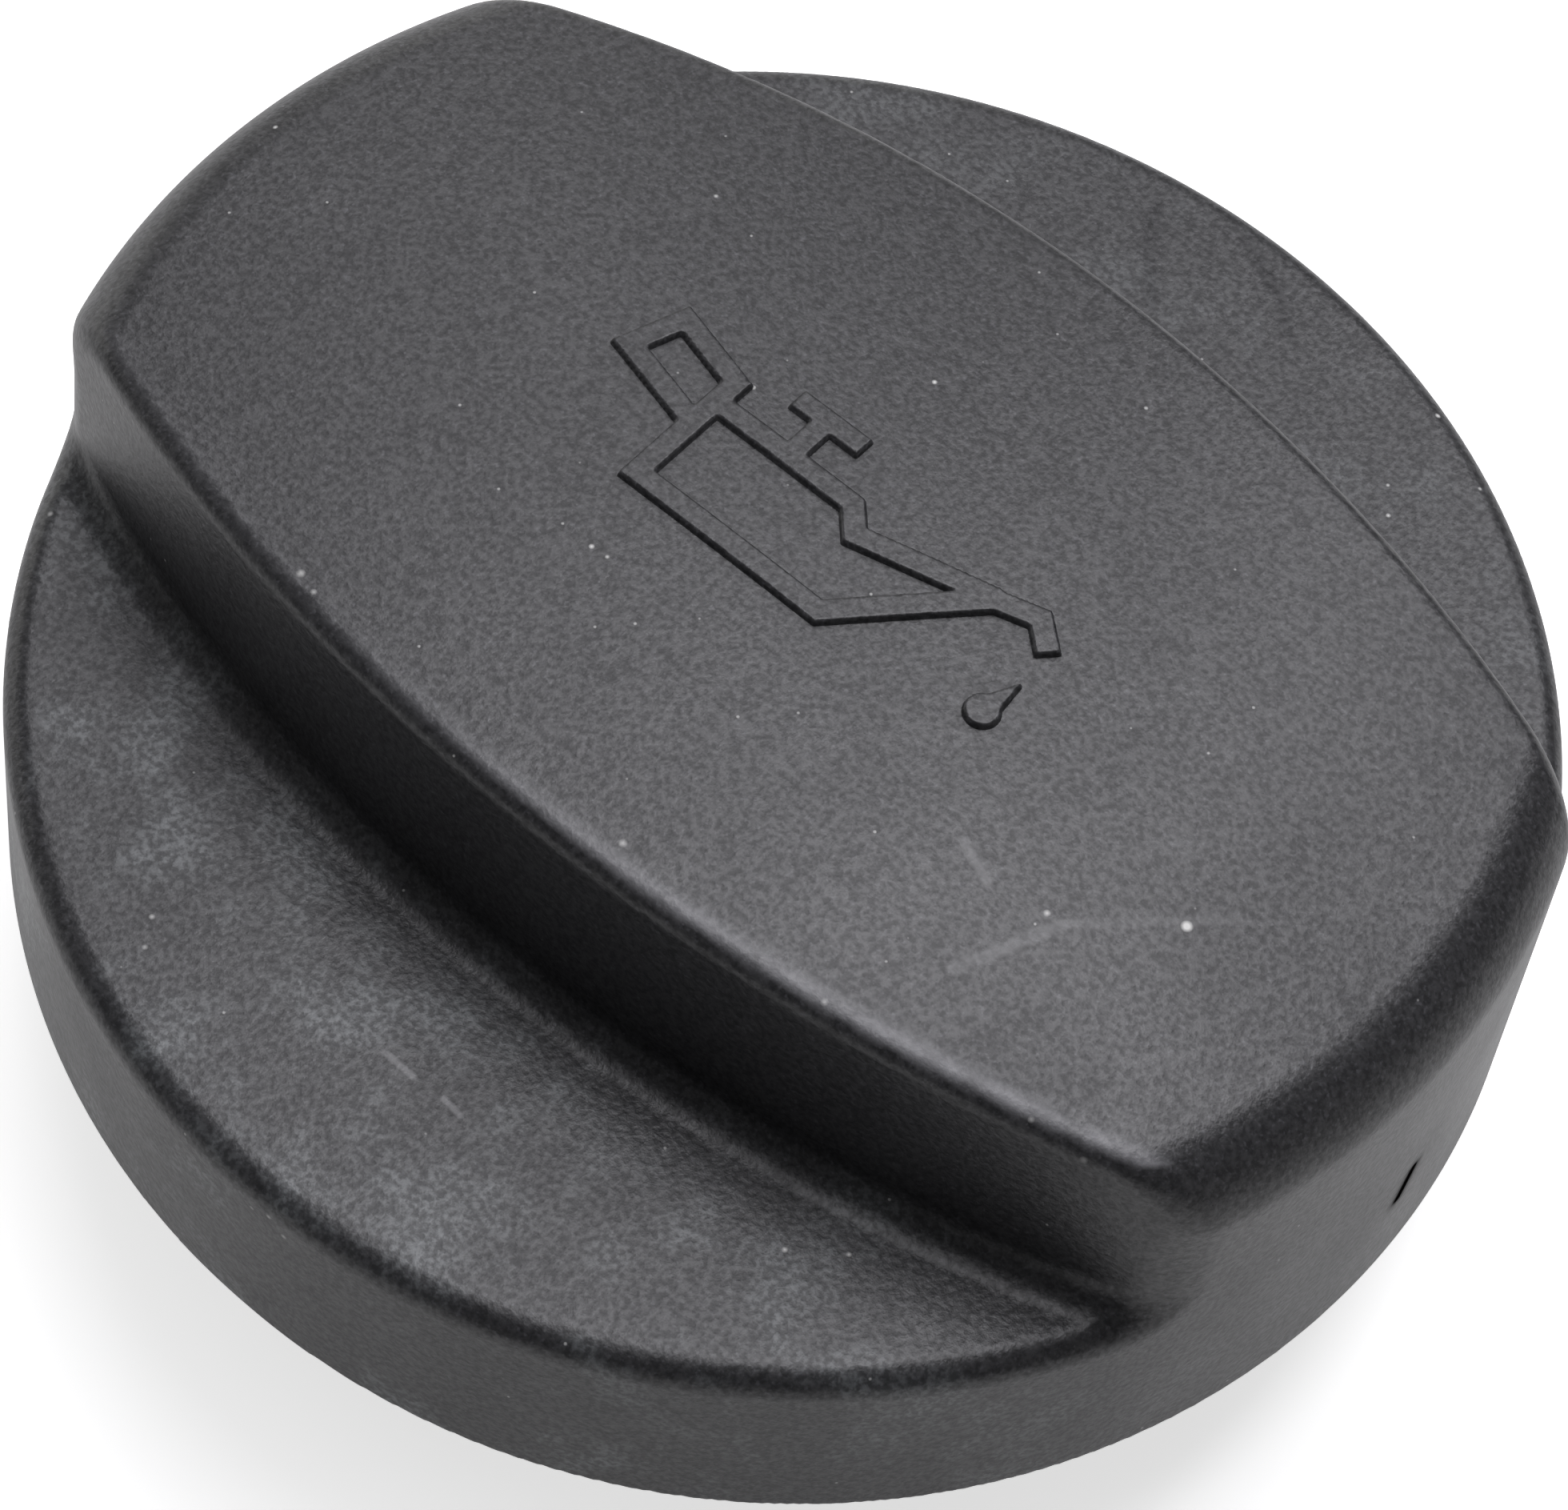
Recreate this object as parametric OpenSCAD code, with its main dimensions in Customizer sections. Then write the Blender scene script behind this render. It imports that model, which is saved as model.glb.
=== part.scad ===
// Quarter-turn oil filler cap for a car engine: a moulded cover with a wide
// barrel-shaped grip, a bayonet insert that snaps into it, and a sealing ring.
// Z is the cap's axis, the grip runs along X, and the stem stands on z = 0.

/* [Cover] */
// Outer diameter at the edge between the disc and the skirt
rim_d = 67; // [64:0.5:76]
// Height of the skirt below the disc's top face
skirt_h = 11.2; // [9.6:0.1:14]
// Outward lean of the skirt and of the grip's ends, in degrees
outer_draft = 2; // [1:0.5:6]
// Thickness of the skirt's wall and of the grip's walls
wall = 2.4; // [1.6:0.1:3]
// Thickness of the disc and of the grip's roof
roof = 2.4; // [1.6:0.1:3]
// Radius of the edge between the disc and the skirt
rim_round = 1.2; // [0.6:0.1:2]
// Radius of the skirt's lower outer edge
foot_round = 0.6; // [0.3:0.1:1]

/* [Grip] */
// Height of the grip's crowned top above the disc, at its middle
grip_h = 11.5; // [8:0.5:15]
// Radius of the crown, which lets the top fall away towards its ends
crown_r = 255; // [180:5:600]
// Width of the grip's top across its middle
grip_w = 36.7; // [32:0.1:40]
// Radius of each bowed side, seen from above
side_r = 81; // [65:1:120]
// Inward lean of the bowed sides, in degrees
side_draft = 3.5; // [2:0.5:6]
// Radius of the edge between the top and an end
end_round = 3.1; // [2:0.1:4]
// Radius of the fillet where a bowed side meets the disc
foot_fillet = 1.5; // [0.8:0.1:2]

/* [Ribs under the grip] */
// Number of ribs across the hollow grip
cross_ribs = 7; // [3:2:9]
// Thickness of each rib
rib_t = 1.6; // [1.2:0.1:2]

/* [Retainer] */
// Height of the ring under the disc that holds the insert
retainer_h = 3; // [2.8:0.1:3.6]
// Thickness of that ring
retainer_t = 1.8; // [1.4:0.1:2.4]
// Reach of the snap bead over the edge of the insert's flange
bead_reach = 0.5; // [0.3:0.1:0.7]
// Number of short ribs between the retainer and the skirt
buttresses = 12; // [6:1:18]
// Length of each short rib
buttress_l = 2.4; // [2:0.1:3.4]
// Thickness of each short rib
buttress_t = 1.4; // [1:0.1:1.8]
// Number of keys that turn the insert with the cover
keys = 4; // [2:1:6]
// Width of each key
key_w = 5; // [3:0.5:7]
// Reach of each key into the flange
key_reach = 1.2; // [0.8:0.1:1.5]

/* [Bayonet insert] */
// Thickness of the flange
flange_t = 1.8; // [1.4:0.1:2]
// Thickness of the stem's wall
stem_wall = 2.2; // [1.8:0.1:2.8]
// Length of the stem below the skirt
stem_drop = 11; // [10:0.5:16]
// Chamfer round the stem's lower edge
stem_chamfer = 0.6; // [0.3:0.1:0.8]
// Reach of the bead that keeps the sealing ring on the stem
stem_bead = 0.5; // [0.3:0.1:0.6]
// Height of the cross of ribs under the insert's roof
inner_rib_h = 2; // [1:0.5:4]

/* [Bayonet lugs] */
// Number of lugs round the stem
lugs = 2; // [2:1:3]
// Angle that each lug spans, in degrees
lug_span = 54; // [36:1:70]
// Reach of a lug out of the stem
lug_reach = 3.1; // [2:0.1:3.4]
// Height of a lug at the high end of its ramp
lug_h = 4.6; // [4:0.1:5.5]
// Height of a lug's underside above the stem's end
lug_z = 1.8; // [1:0.1:2.4]
// Slope of the ramp that pulls the cap down, in degrees
ramp_slope = 4.5; // [2:0.5:6]
// Angle that the stop at the end of the ramp spans, in degrees
stop_span = 7; // [5:1:10]
// Height of the stop above the ramp
stop_h = 1.5; // [1:0.1:1.8]

/* [Sealing ring] */
// Width of the ring's flat section
seal_w = 5.4; // [4.6:0.1:5.5]
// Thickness of the flat section
seal_t = 2.1; // [1.6:0.1:2.4]
// Height of each lip on the sealing face
lip_h = 0.5; // [0.3:0.1:0.7]
// Width of each lip at its root
lip_w = 1.1; // [0.8:0.1:1.4]

/* [Fits] */
// Radial clearance between the flange and the retainer
flange_gap = 0.2; // [0.1:0.05:0.3]
// Radial clearance between the stem and the sealing ring
seal_gap = 0.1; // [0.05:0.05:0.2]
// Radial clearance between the sealing ring and the snap bead round it
edge_gap = 0.3; // [0.2:0.05:0.5]
// Clearance between the flange and the bead below it
bead_gap = 0.1; // [0.05:0.05:0.2]
// Clearance round each key in its notch
key_gap = 0.2; // [0.1:0.05:0.3]

/* [Hidden] */
$fn = 96;

// Overshoot that keeps a cutter's face off the face it cuts through
eps = 0.1;
// Angle at which a rounding cutter runs out through the faces beside its edge
exit_turn = 12;
// Segments of the crown's wide circle, enough to keep it within 0.01 mm
crown_segments = 720;
// How far the end rounding would stand past the crown, so that the two cross cleanly
crown_step = 0.05;
// Places of the two sealing lips across the ring, as shares of its width
lip_places = [0.3, 0.75];
// Directions of the two ribs that cross under the insert's roof, between the lugs
inner_rib_turns = [45, 135];

// Heights above the stem's lower end
skirt_z = stem_drop;
disc_z = skirt_z + skirt_h;
top_z = disc_z + grip_h;
seat_z = disc_z - roof;
flange_z = seat_z - flange_t;
crown_z = top_z - crown_r;
seal_z = flange_z - seal_t;

// Radii
rim_r = rim_d / 2;
outer_slope = tan(outer_draft);
side_slope = tan(side_draft);
far_r = side_r + rim_d;
side_centre = side_r - grip_w / 2;

// Radii under the disc, from the skirt's inside to the stem's bore
seat_r = inner_r(seat_z);
retainer_out_r = seat_r - buttress_l;
retainer_r = retainer_out_r - retainer_t;
flange_r = retainer_r - flange_gap;
bead_r = flange_r - bead_reach;
seal_out_r = bead_r - edge_gap;
seal_r = seal_out_r - seal_w;
stem_r = seal_r - seal_gap;
bore_r = stem_r - stem_wall;

// Radius of the outer face at a height, and of the cavity inside it
function outer_r(z) = rim_r + (disc_z - z) * outer_slope;
function inner_r(z) = outer_r(z) - wall / cos(outer_draft);
// Radius of a bowed side about its own far centre, and of the cavity behind it
function side_r_at(z) = side_r + (top_z - z) * side_slope;
function hollow_r_at(z) = side_r_at(z) - wall / cos(side_draft);

// Point on a circle at the angle a
function on_circle(centre, r, a) = [centre.x + r * cos(a), centre.y + r * sin(a)];

// Distance from an edge to the centre of its rounding along the flat face, where the
// other face leans by the angle a
function inset(r, a) = r * (1 - sin(a)) / cos(a);

// Point on the circle's tangent at the angle a, far enough along it to be outside the body
function run_out(centre, r, a, way) =
    let (s = way * (r * (1 - cos(exit_turn)) + eps) / sin(exit_turn))
        on_circle(centre, r, a) + s * [-sin(a), cos(a)];

// Centre of the rounding between the grip's ends and its crown: one radius inside the
// leaning wall, and a little less than one radius inside the crown
function shoulder_centre() =
    let (
        k = outer_slope,
        x0 = outer_r(crown_z) - end_round / cos(outer_draft),
        reach = crown_r - end_round + crown_step,
        up = (x0 * k + sqrt(pow(x0 * k, 2) - (1 + k * k) * (x0 * x0 - reach * reach))) / (1 + k * k)
    )
        [x0 - k * up, crown_z + up];

// Wide circle of the crown, or of the roof's underside with the smaller radius
module crown_circle(r) {
    translate([0, crown_z])
        circle(r = r, $fn = crown_segments);
}

// The cap's outer form before the disc's two sides are cut down
module blank() {
    foot = [outer_r(skirt_z) - inset(foot_round, -outer_draft), skirt_z + foot_round];
    shoulder = shoulder_centre();
    high = top_z + end_round;
    rotate_extrude()
        intersection() {
            union() {
                polygon([[0, skirt_z], [foot.x, skirt_z], on_circle(foot, foot_round, outer_draft),
                    on_circle(shoulder, end_round, outer_draft), shoulder,
                    [shoulder.x, high], [0, high]]);
                translate(foot)
                    circle(r = foot_round);
                translate(shoulder)
                    circle(r = end_round);
            }
            crown_circle(crown_r);
        }
}

// What is cut away beside the grip: a bowed, leaning wall with a fillet at its foot,
// turned about the bowed side's far centre
module side_cut() {
    high = top_z + eps;
    fillet = [side_r_at(disc_z) + inset(foot_fillet, side_draft), disc_z + foot_fillet];
    translate([0, side_centre, 0])
        rotate_extrude() {
            polygon([[far_r, disc_z], [far_r, high], [side_r_at(high), high],
                on_circle(fillet, foot_fillet, 180 + side_draft), [fillet.x, disc_z]]);
            translate(fillet)
                circle(r = foot_fillet);
        }
}

// Cutter that rounds the edge between the disc and the skirt, along the free part of
// the rim beside one bowed side
module rim_cut() {
    low = outer_draft + exit_turn;
    high = 90 - exit_turn;
    centre = [rim_r - inset(rim_round, outer_draft), disc_z - rim_round];
    start = run_out(centre, rim_round, low, -1);
    end = run_out(centre, rim_round, high, 1);
    root = side_r_at(disc_z) + foot_fillet / 2;
    corner = asin((pow(root, 2) - pow(rim_r, 2) - pow(side_centre, 2)) / (2 * side_centre * rim_r));
    rotate(corner - 180)
        rotate_extrude(angle = 180 - 2 * corner)
            difference() {
                polygon([centre, on_circle(centre, rim_round, low), start,
                    [rim_r + rim_round, start.y], [rim_r + rim_round, end.y], end,
                    on_circle(centre, rim_round, high)]);
                translate(centre)
                    circle(r = rim_round);
            }
}

// One side of the disc cut down to its level, with its rim rounded
module disc_side() {
    side_cut();
    rim_cut();
}

// Hollow under the disc, inside the skirt
module skirt_hollow() {
    low = skirt_z - eps;
    translate([0, 0, low])
        cylinder(h = seat_z - low, r1 = inner_r(low), r2 = inner_r(seat_z));
}

// Everything inside one bowed side's wall
module behind_side() {
    h = grip_h + roof;
    translate([0, side_centre, seat_z])
        cylinder(h = h, r1 = hollow_r_at(seat_z), r2 = hollow_r_at(seat_z + h));
}

// Everything inside the grip's ends and under its roof
module behind_ends() {
    rotate_extrude()
        intersection() {
            polygon([[0, seat_z], [seat_r, seat_z], [inner_r(top_z), top_z], [0, top_z]]);
            crown_circle(crown_r - roof);
        }
}

// Hollow under the grip, one wall inside its bowed sides and its ends
module grip_hollow() {
    intersection() {
        behind_ends();
        behind_side();
        mirror([0, 1, 0])
            behind_side();
    }
}

// Ribs across and along the hollow grip, which stand on the insert's flange
module grip_ribs() {
    rib_h = top_z - seat_z;
    pitch = 2 * seat_r / (cross_ribs + 1);
    for (i = [0:cross_ribs - 1])
        translate([(i - (cross_ribs - 1) / 2) * pitch - rib_t / 2, -rim_r, seat_z])
            cube([rib_t, rim_d, rib_h]);
    translate([-rim_r, -rib_t / 2, seat_z])
        cube([rim_d, rib_t, rib_h]);
}

// Ring under the disc with a snap bead that holds the flange up against the ribs
module retainer() {
    low = seat_z - retainer_h;
    high = seat_z + rib_t;
    catch_z = flange_z - bead_gap;
    rotate_extrude()
        polygon([[retainer_r, high], [retainer_r, catch_z], [bead_r, catch_z - eps],
            [bead_r, catch_z - bead_reach], [retainer_r, low], [retainer_out_r, low],
            [retainer_out_r, high]]);
}

// Short ribs that brace the retainer against the skirt
module retainer_braces() {
    length = seat_r - retainer_r;
    for (i = [0:buttresses - 1])
        rotate((i + 0.5) * 360 / buttresses)
            translate([retainer_r + retainer_t / 2, -buttress_t / 2, seat_z - retainer_h])
                cube([length, buttress_t, retainer_h + rib_t]);
}

// Keys round the flange, or the notches for them with a clearance all round
module key_ring(gap) {
    reach = key_reach + flange_gap + gap;
    for (i = [0:keys - 1])
        rotate((i + 0.5) * 360 / keys)
            translate([retainer_r - reach, -key_w / 2 - gap, flange_z - gap])
                cube([reach + retainer_t / 2, key_w + 2 * gap, flange_t + 2 * gap]);
}

// One-piece moulded cover: disc, skirt and hollow grip with its ribs
module cover() {
    color("#47474b")
        difference() {
            blank();
            disc_side();
            mirror([0, 1, 0])
                disc_side();
            difference() {
                grip_hollow();
                grip_ribs();
            }
            difference() {
                skirt_hollow();
                retainer();
                retainer_braces();
                key_ring(0);
            }
        }
}

// Flange, stem and the bead that keeps the sealing ring on, as one turned form
module insert_body() {
    bead_high = seal_z - bead_gap;
    bead_low = bead_high - 2 * stem_bead;
    rotate_extrude()
        polygon([[0, seat_z], [flange_r, seat_z], [flange_r, flange_z], [stem_r, flange_z],
            [stem_r, bead_high], [stem_r + stem_bead, (bead_high + bead_low) / 2],
            [stem_r, bead_low], [stem_r, stem_chamfer], [stem_r - stem_chamfer, 0], [0, 0]]);
}

// One lug, centred on X: its upper face is a ramp that rises to the foot of a stop
module lug() {
    inner = stem_r - stem_wall / 2;
    outer = stem_r + lug_reach;
    lead = lug_reach / 4;
    ramp_z = lug_z + lug_h;
    stop_z = ramp_z + stop_h;
    rotate(-lug_span / 2)
        difference() {
            rotate_extrude(angle = lug_span)
                polygon([[inner, lug_z], [outer - lead, lug_z], [outer, lug_z + lead],
                    [outer, stop_z], [inner, stop_z]]);
            rotate(lug_span - stop_span)
                translate([0, 0, ramp_z])
                    rotate([ramp_slope, 0, 0])
                        translate([0, -2 * outer, 0])
                            cube([2 * outer, 2 * outer, 2 * lug_h]);
        }
}

// Bayonet insert: a flange that closes the grip from below, a hollow stem and its lugs
module bayonet_insert() {
    color("#2f2f32") {
        difference() {
            union() {
                insert_body();
                for (i = [0:lugs - 1])
                    rotate(i * 360 / lugs)
                        lug();
            }
            translate([0, 0, -eps])
                cylinder(h = flange_z + eps, r = bore_r);
            key_ring(key_gap);
        }
        for (turn = inner_rib_turns)
            rotate(turn)
                translate([-bore_r - stem_wall / 2, -rib_t / 2, flange_z - inner_rib_h])
                    cube([2 * bore_r + stem_wall, rib_t, inner_rib_h + flange_t / 2]);
    }
}

// Flat rubber ring with two lips that press on the end of the filler neck
module sealing_ring() {
    tip = lip_w / 6;
    color("#1b1b1c")
        rotate_extrude() {
            translate([seal_r, seal_z])
                square([seal_w, seal_t]);
            for (share = lip_places)
                translate([seal_r + share * seal_w, seal_z])
                    polygon([[-tip, -lip_h], [tip, -lip_h], [lip_w / 2, 0],
                        [lip_w / 2, lip_h], [-lip_w / 2, lip_h], [-lip_w / 2, 0]]);
        }
}

cover();
bayonet_insert();
sealing_ring();
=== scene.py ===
# %% [markdown]
# Oil filler cap for a car engine, dressed for a close-up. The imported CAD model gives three
# pieces, already in metres and in place: the moulded cover with its wide grip, the bayonet
# insert under it, and the sealing ring. This lesson adds what CAD leaves out: the camera and
# the light of the photograph, the soft edges that a mould leaves, the raised oil-can sign,
# the grain of the plastic and the marks of years of handling.

import math
from functools import partial

import bmesh
import bpy
import numpy as np
from mathutils import Matrix, Vector


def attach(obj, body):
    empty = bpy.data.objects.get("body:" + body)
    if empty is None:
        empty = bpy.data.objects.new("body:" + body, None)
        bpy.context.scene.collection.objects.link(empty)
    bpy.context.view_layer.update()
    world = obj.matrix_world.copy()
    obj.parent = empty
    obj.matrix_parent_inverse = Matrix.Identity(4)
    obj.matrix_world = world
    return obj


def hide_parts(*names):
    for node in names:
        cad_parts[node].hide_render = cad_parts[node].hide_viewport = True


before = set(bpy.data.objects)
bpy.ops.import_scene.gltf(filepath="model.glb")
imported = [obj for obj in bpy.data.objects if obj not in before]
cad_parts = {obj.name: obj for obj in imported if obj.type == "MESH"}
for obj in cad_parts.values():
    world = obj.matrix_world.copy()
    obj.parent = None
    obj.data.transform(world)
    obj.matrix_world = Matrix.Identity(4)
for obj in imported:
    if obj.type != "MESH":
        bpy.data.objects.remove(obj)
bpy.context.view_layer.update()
cad_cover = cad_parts["cover"]
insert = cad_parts["bayonet_insert"]
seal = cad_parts["sealing_ring"]
MM = 0.001

# %% [markdown]
# The camera stands where the photographer stood. Its place and its three directions came from
# fitting the grip's arcs, its crowned top, the rim and the foot of the skirt to the picture's
# outlines. The focal length belongs to a 36 mm sensor across the picture's 1960 pixels.

# %% Camera
IMAGE_W = 1960
FOCAL_PX = 5807.17
SENSOR_W = 36.0
CAMERA_AT = (60.286, -90.183, 189.087)
CAMERA_RIGHT = (0.7514385, 0.6549313, 0.0800319)
CAMERA_UP = (-0.5910481, 0.6142518, 0.5228354)
CAMERA_BACK = (0.2932615, -0.4401814, 0.8486684)


def photo_camera():
    data = bpy.data.cameras.new("photo_camera")
    data.sensor_width = SENSOR_W
    data.lens = FOCAL_PX / IMAGE_W * SENSOR_W
    data.clip_start, data.clip_end = 0.005, 20.0
    cam = bpy.data.objects.new("photo_camera", data)
    turn = Matrix((CAMERA_RIGHT, CAMERA_UP, CAMERA_BACK)).transposed()
    cam.matrix_world = Matrix.Translation(Vector(CAMERA_AT) * MM) @ turn.to_4x4()
    bpy.context.scene.collection.objects.link(cam)
    bpy.context.scene.camera = cam
    return cam


camera = photo_camera()
bpy.context.scene.view_settings.view_transform = "Standard"
print("lens %.2f mm" % camera.data.lens)

# %% [markdown]
# The world, the floor, the sign and every finish below are node trees. This helper puts one
# node down, joins what is given as a socket and sets what is given as a value, so that a tree
# reads like a formula. An input goes by its label, or by i and its number where labels repeat.

# %% Node helper


def put_node(tree, kind, settings=None, **inputs):
    node = tree.nodes.new(kind)
    for key, value in (settings or {}).items():
        setattr(node, key, value)
    for key, value in inputs.items():
        numbered = key[0] == "i" and key[1:].isdigit()
        socket = node.inputs[int(key[1:]) if numbered else key.replace("_", " ")]
        if isinstance(value, bpy.types.NodeSocket):
            tree.links.new(value, socket)
        else:
            socket.default_value = value
    return node


trial = bpy.data.node_groups.new("trial", "ShaderNodeTree")
half = put_node(trial, "ShaderNodeMath", {"operation": "DIVIDE"}, i0=1.0, i1=2.0)
print("a node from the helper:", half.operation, [half.inputs[i].default_value for i in (0, 1)])
bpy.data.node_groups.remove(trial)

# %% [markdown]
# The cap lies on pure white. A world that is white all round would also turn black plastic
# grey, because plastic shows mostly reflections. So the world is white to the camera and
# through glass, and much dimmer where it lights the cap or is mirrored in it: the cap in the
# picture mirrors a room that is darker than its white paper.

# %% World
WORLD_LIGHT = 0.015
MIRRORED_ROOM = 0.08
WHITE = (1, 1, 1, 1)
CAMERA_RAYS = ("Is Camera Ray", "Is Transmission Ray")
MIRROR_RAYS = ("Is Glossy Ray",)


def seen_by(tree, rays):
    """Socket that is 1 for the named kinds of ray and 0 for the others."""
    path = put_node(tree, "ShaderNodeLightPath")
    seen = path.outputs[rays[0]]
    for ray in rays[1:]:
        either = put_node(tree, "ShaderNodeMath", {"operation": "MAXIMUM"}, i0=seen, i1=path.outputs[ray])
        seen = either.outputs[0]
    return seen


def studio_world():
    world = bpy.data.worlds.new("studio")
    world.use_nodes = True
    tree = world.node_tree
    tree.nodes.clear()
    shown = put_node(tree, "ShaderNodeBackground", Color=WHITE, Strength=WORLD_LIGHT).outputs[0]
    for strength, rays in ((MIRRORED_ROOM, MIRROR_RAYS), (1.0, CAMERA_RAYS)):
        white = put_node(tree, "ShaderNodeBackground", Color=WHITE, Strength=strength)
        mix = put_node(tree, "ShaderNodeMixShader", i0=seen_by(tree, rays), i1=shown, i2=white.outputs[0])
        shown = mix.outputs[0]
    put_node(tree, "ShaderNodeOutputWorld", Surface=shown)
    bpy.context.scene.world = world


studio_world()
print("world: light %.3f, mirrored %.3f" % (WORLD_LIGHT, MIRRORED_ROOM))

# %% [markdown]
# Soft light comes from above and behind, as in a small tent. Each flat face takes the tone of
# what it mirrors: the crown and the disc mirror the lamps overhead, the skirt mirrors the
# white floor, and the near wall and the roundings mirror the dark room on the camera's side.
# The strengths were found by rendering each lamp alone and matching their sum to the picture.

# %% Lamps
LAMP_AIM = Vector((0, 0, 0.02))
COOL, WARM, WARMER = (0.97, 0.96, 1.0), (1.0, 0.99, 0.96), (1.0, 0.96, 0.93)
LAMPS = (  # name, place, size, watts, tint
    ("overhead_main", (0.0, 0.07, 0.42), (0.2, 0.17), 0.58, COOL),
    ("overhead_left", (-0.2, 0.155, 0.42), (0.2, 0.34), 0.54, COOL),
    ("overhead_front", (0.0, -0.1, 0.42), (0.2, 0.17), 0.15, COOL),
    ("overhead_back", (0.0, 0.325, 0.42), (0.2, 0.34), 0.82, COOL),
    ("left_back_card", (-0.35, 0.35, 0.15), (0.3, 0.2), 0.25, WARM),
    ("left_card", (-0.4, -0.02, 0.1), (0.3, 0.16), 0.2, WARM),
    ("right_card", (0.4, 0.05, 0.1), (0.3, 0.16), 0.03, WARMER),
)


def soft_lamp(name, place, size, watts, tint):
    data = bpy.data.lights.new(name, "AREA")
    data.shape = "RECTANGLE"
    data.size, data.size_y = size
    data.energy = watts
    data.color = tint
    lamp = bpy.data.objects.new(name, data)
    turn = (Vector(place) - LAMP_AIM).to_track_quat("Z", "Y")
    lamp.matrix_world = Matrix.Translation(place) @ turn.to_matrix().to_4x4()
    bpy.context.scene.collection.objects.link(lamp)


for lamp in LAMPS:
    soft_lamp(*lamp)
print("lamps: %.2f W in all" % sum(watts for name, place, size, watts, tint in LAMPS))

# %% [markdown]
# The floor is plain pale paper. To the camera it also glows a little, so that it comes out
# white as in the picture while the lamps stay low enough for the dark plastic, and it keeps
# the cap's shadow. Away from the lamps the glow makes up for their light, so that the floor
# stays white to its edge in every view.

# %% Floor
FLOOR_HALF = 3.0
PAPER = (0.85, 0.85, 0.84, 1)
NEAR_GLOW, FAR_GLOW, MIRRORED_GLOW = 0.7, 1.0, 0.27
GLOW_FROM, GLOW_TO = 0.12, 0.6


def white_paper():
    paper = bpy.data.materials.new("white_table")
    paper.use_nodes = True
    tree = paper.node_tree
    tree.nodes.clear()
    place = put_node(tree, "ShaderNodeTexCoord").outputs["Object"]
    away = put_node(tree, "ShaderNodeVectorMath", {"operation": "LENGTH"}, i0=place)
    glow = put_node(tree, "ShaderNodeMapRange", Value=away.outputs["Value"], From_Min=GLOW_FROM,
                    From_Max=GLOW_TO, To_Min=NEAR_GLOW, To_Max=FAR_GLOW).outputs[0]
    shown = put_node(tree, "ShaderNodeBsdfDiffuse", Color=PAPER).outputs[0]
    for strength, rays in ((glow, CAMERA_RAYS), (MIRRORED_GLOW, MIRROR_RAYS)):
        light = put_node(tree, "ShaderNodeEmission", Strength=strength)
        only = put_node(tree, "ShaderNodeMixShader", i0=seen_by(tree, rays), i2=light.outputs[0])
        shown = put_node(tree, "ShaderNodeAddShader", i0=shown, i1=only.outputs[0]).outputs[0]
    put_node(tree, "ShaderNodeOutputMaterial", Surface=shown)
    return paper


def studio_floor():
    h = FLOOR_HALF
    mesh = bpy.data.meshes.new("studio_floor")
    mesh.from_pydata([(-h, -h, 0), (h, -h, 0), (h, h, 0), (-h, h, 0)], [], [(0, 1, 2, 3)])
    mesh.materials.append(white_paper())
    floor = bpy.data.objects.new("studio_floor", mesh)
    bpy.context.scene.collection.objects.link(floor)


studio_floor()
print("floor: %.0f m square" % (2 * FLOOR_HALF))

# %% [markdown]
# The cover is one nylon moulding. Its outside is a drafted cone with a crowned top, cut down
# on two sides to a flat disc, so that a barrel-shaped grip stays between two bowed walls.
# Each of these faces is a simple rule: a signed distance, negative inside. The mould's soft
# edges come from joining the rules with a radius instead of a plain minimum or maximum, which
# no bevel could do where three roundings run into each other. All sizes here are millimetres.

# %% Sizes of the outer form
DISC_Z, TOP_Z, SKIRT_Z = 22.2, 33.7, 11.0
RIM_R, DRAFT = 33.5, math.radians(2.0)
CROWN_R = 255.0
SIDE_R, SIDE_DRAFT, GRIP_W = 81.0, math.radians(3.5), 36.7
SIDE_CENTRE = SIDE_R - GRIP_W / 2
END_ROUND, RIM_ROUND, FOOT_ROUND, FILLET = 3.1, 1.2, 0.6, 1.5
FILLET_TOP = 1.4 * FILLET
# The edge along the bowed walls is tighter at the top than down at the grip's four corners.
EDGE_ROUND, CORNER_ROUND = 0.8, 1.2
CORNER_Z, EDGE_Z = 26.0, 30.0
print("skirt's foot: %.2f mm across" % (2 * (RIM_R + (DISC_Z - SKIRT_Z) * math.tan(DRAFT))))

# %% Rules for rounding


def join_round(a, b, r):
    """Union of two forms with a fillet of the radius r between them."""
    return np.maximum(r, np.minimum(a, b)) - np.hypot(np.maximum(r - a, 0), np.maximum(r - b, 0))


def meet_round(a, b, r):
    """Common part of two forms, with its edge rounded to the radius r."""
    return np.minimum(-r, np.maximum(a, b)) + np.hypot(np.maximum(r + a, 0), np.maximum(r + b, 0))


def ease(x, low, high):
    """0 below low, 1 above high, and a soft step between."""
    t = np.clip((x - low) / (high - low), 0, 1)
    return t * t * (3 - 2 * t)


print("a fillet of 1 fills a right corner out to %.3f" % -join_round(0.0, 0.0, 1.0))

# %% Rules of the outer form


def faces_of(x, y, z):
    """Signed distances to the cone, the crown and the nearer bowed wall."""
    cone = (np.hypot(x, y) - RIM_R - (DISC_Z - z) * math.tan(DRAFT)) * math.cos(DRAFT)
    crown = np.sqrt(x * x + y * y + (z - TOP_Z + CROWN_R) ** 2) - CROWN_R
    bow = np.hypot(x, np.abs(y) + SIDE_CENTRE) - SIDE_R - (TOP_Z - z) * math.tan(SIDE_DRAFT)
    return cone, crown, bow * math.cos(SIDE_DRAFT)


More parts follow.
